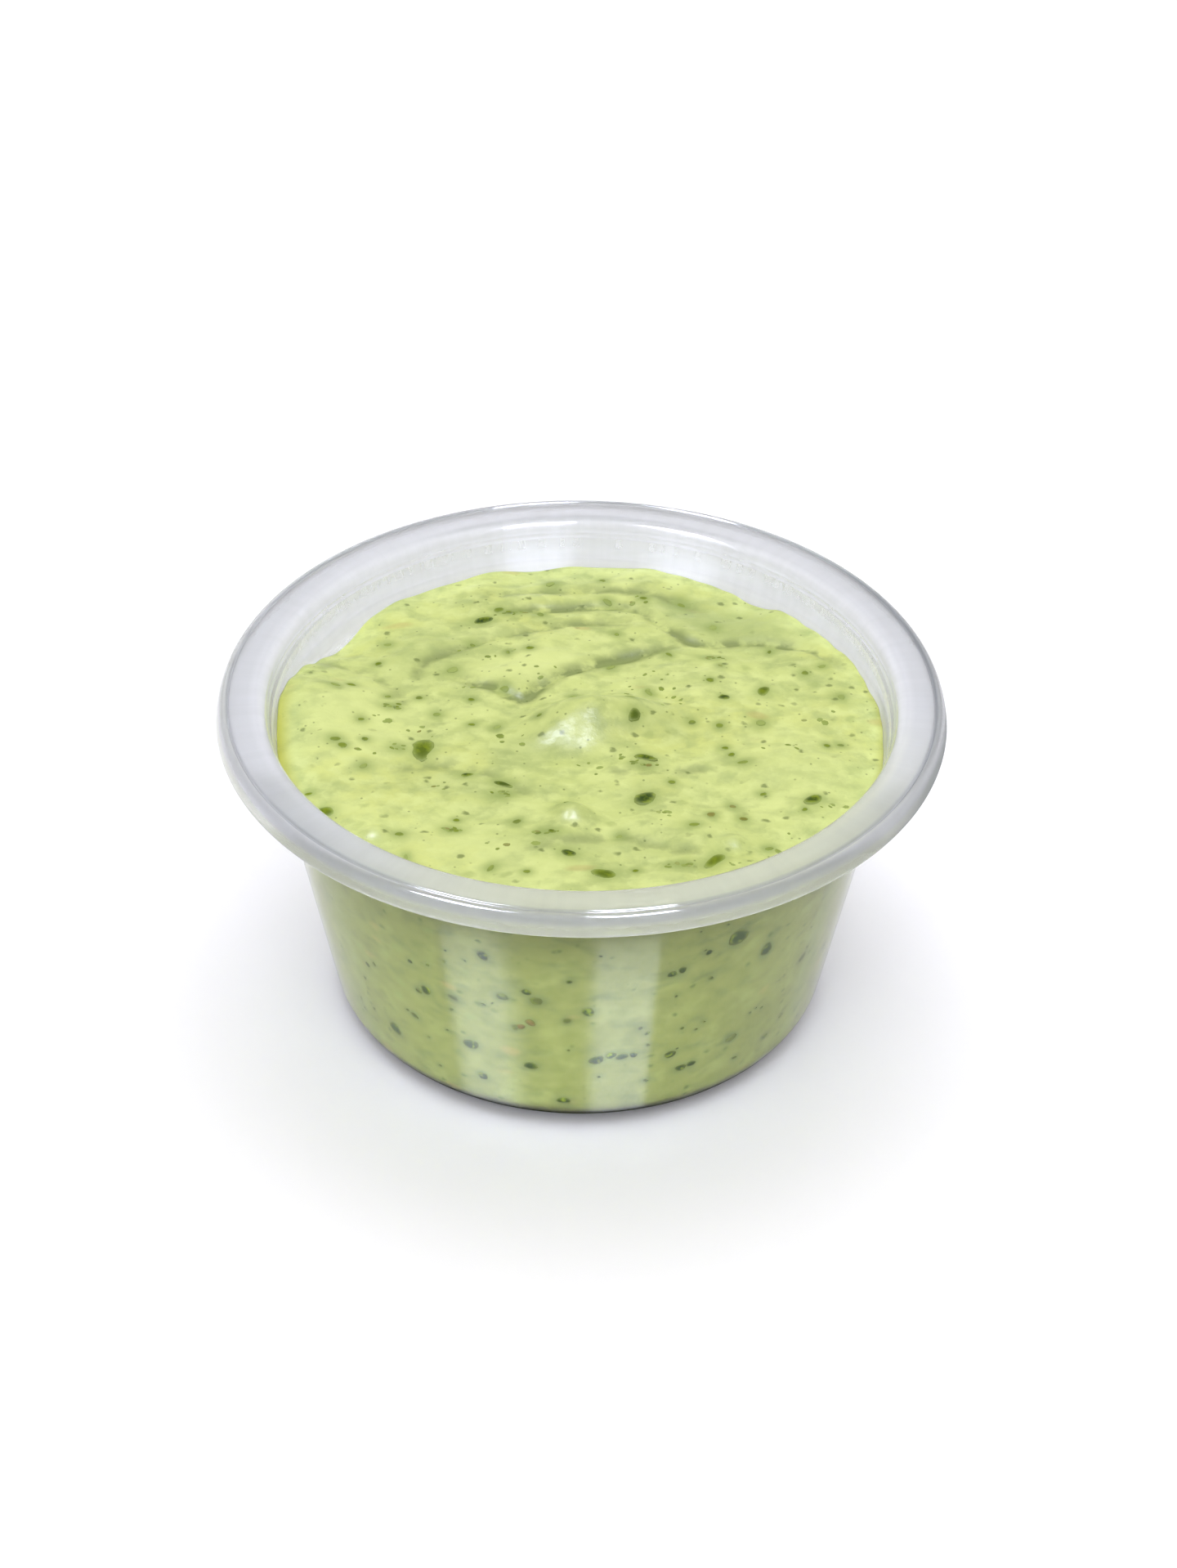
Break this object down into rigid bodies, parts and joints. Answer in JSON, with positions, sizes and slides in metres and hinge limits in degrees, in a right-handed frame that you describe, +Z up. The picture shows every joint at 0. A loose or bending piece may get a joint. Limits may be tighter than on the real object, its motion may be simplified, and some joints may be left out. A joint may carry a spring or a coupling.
{
  "type": "portion cup of creamy pesto dip",
  "caption": "Clear round portion cup with a flanged rim, filled nearly to the rim with a thick, folded, creamy green herb dip.",
  "frame": {"origin": "centre of the cup's flat base, on the surface it stands on", "axes": "+Z up along the cup's axis, -Y towards the viewer of the picture, +X to the viewer's right"},
  "size_m": [0.074, 0.074, 0.036],
  "materials": {
    "clear_cup": "clear thin thermoformed plastic, glossy, slightly hazy, greyer at the rim",
    "herb_dip": "wet, creamy and opaque, pale yellow green with folds and chopped herbs"
  },
  "bodies": {
    "root": {"cup": "clear_cup", "dip": "herb_dip"}
  },
  "joints": []
}
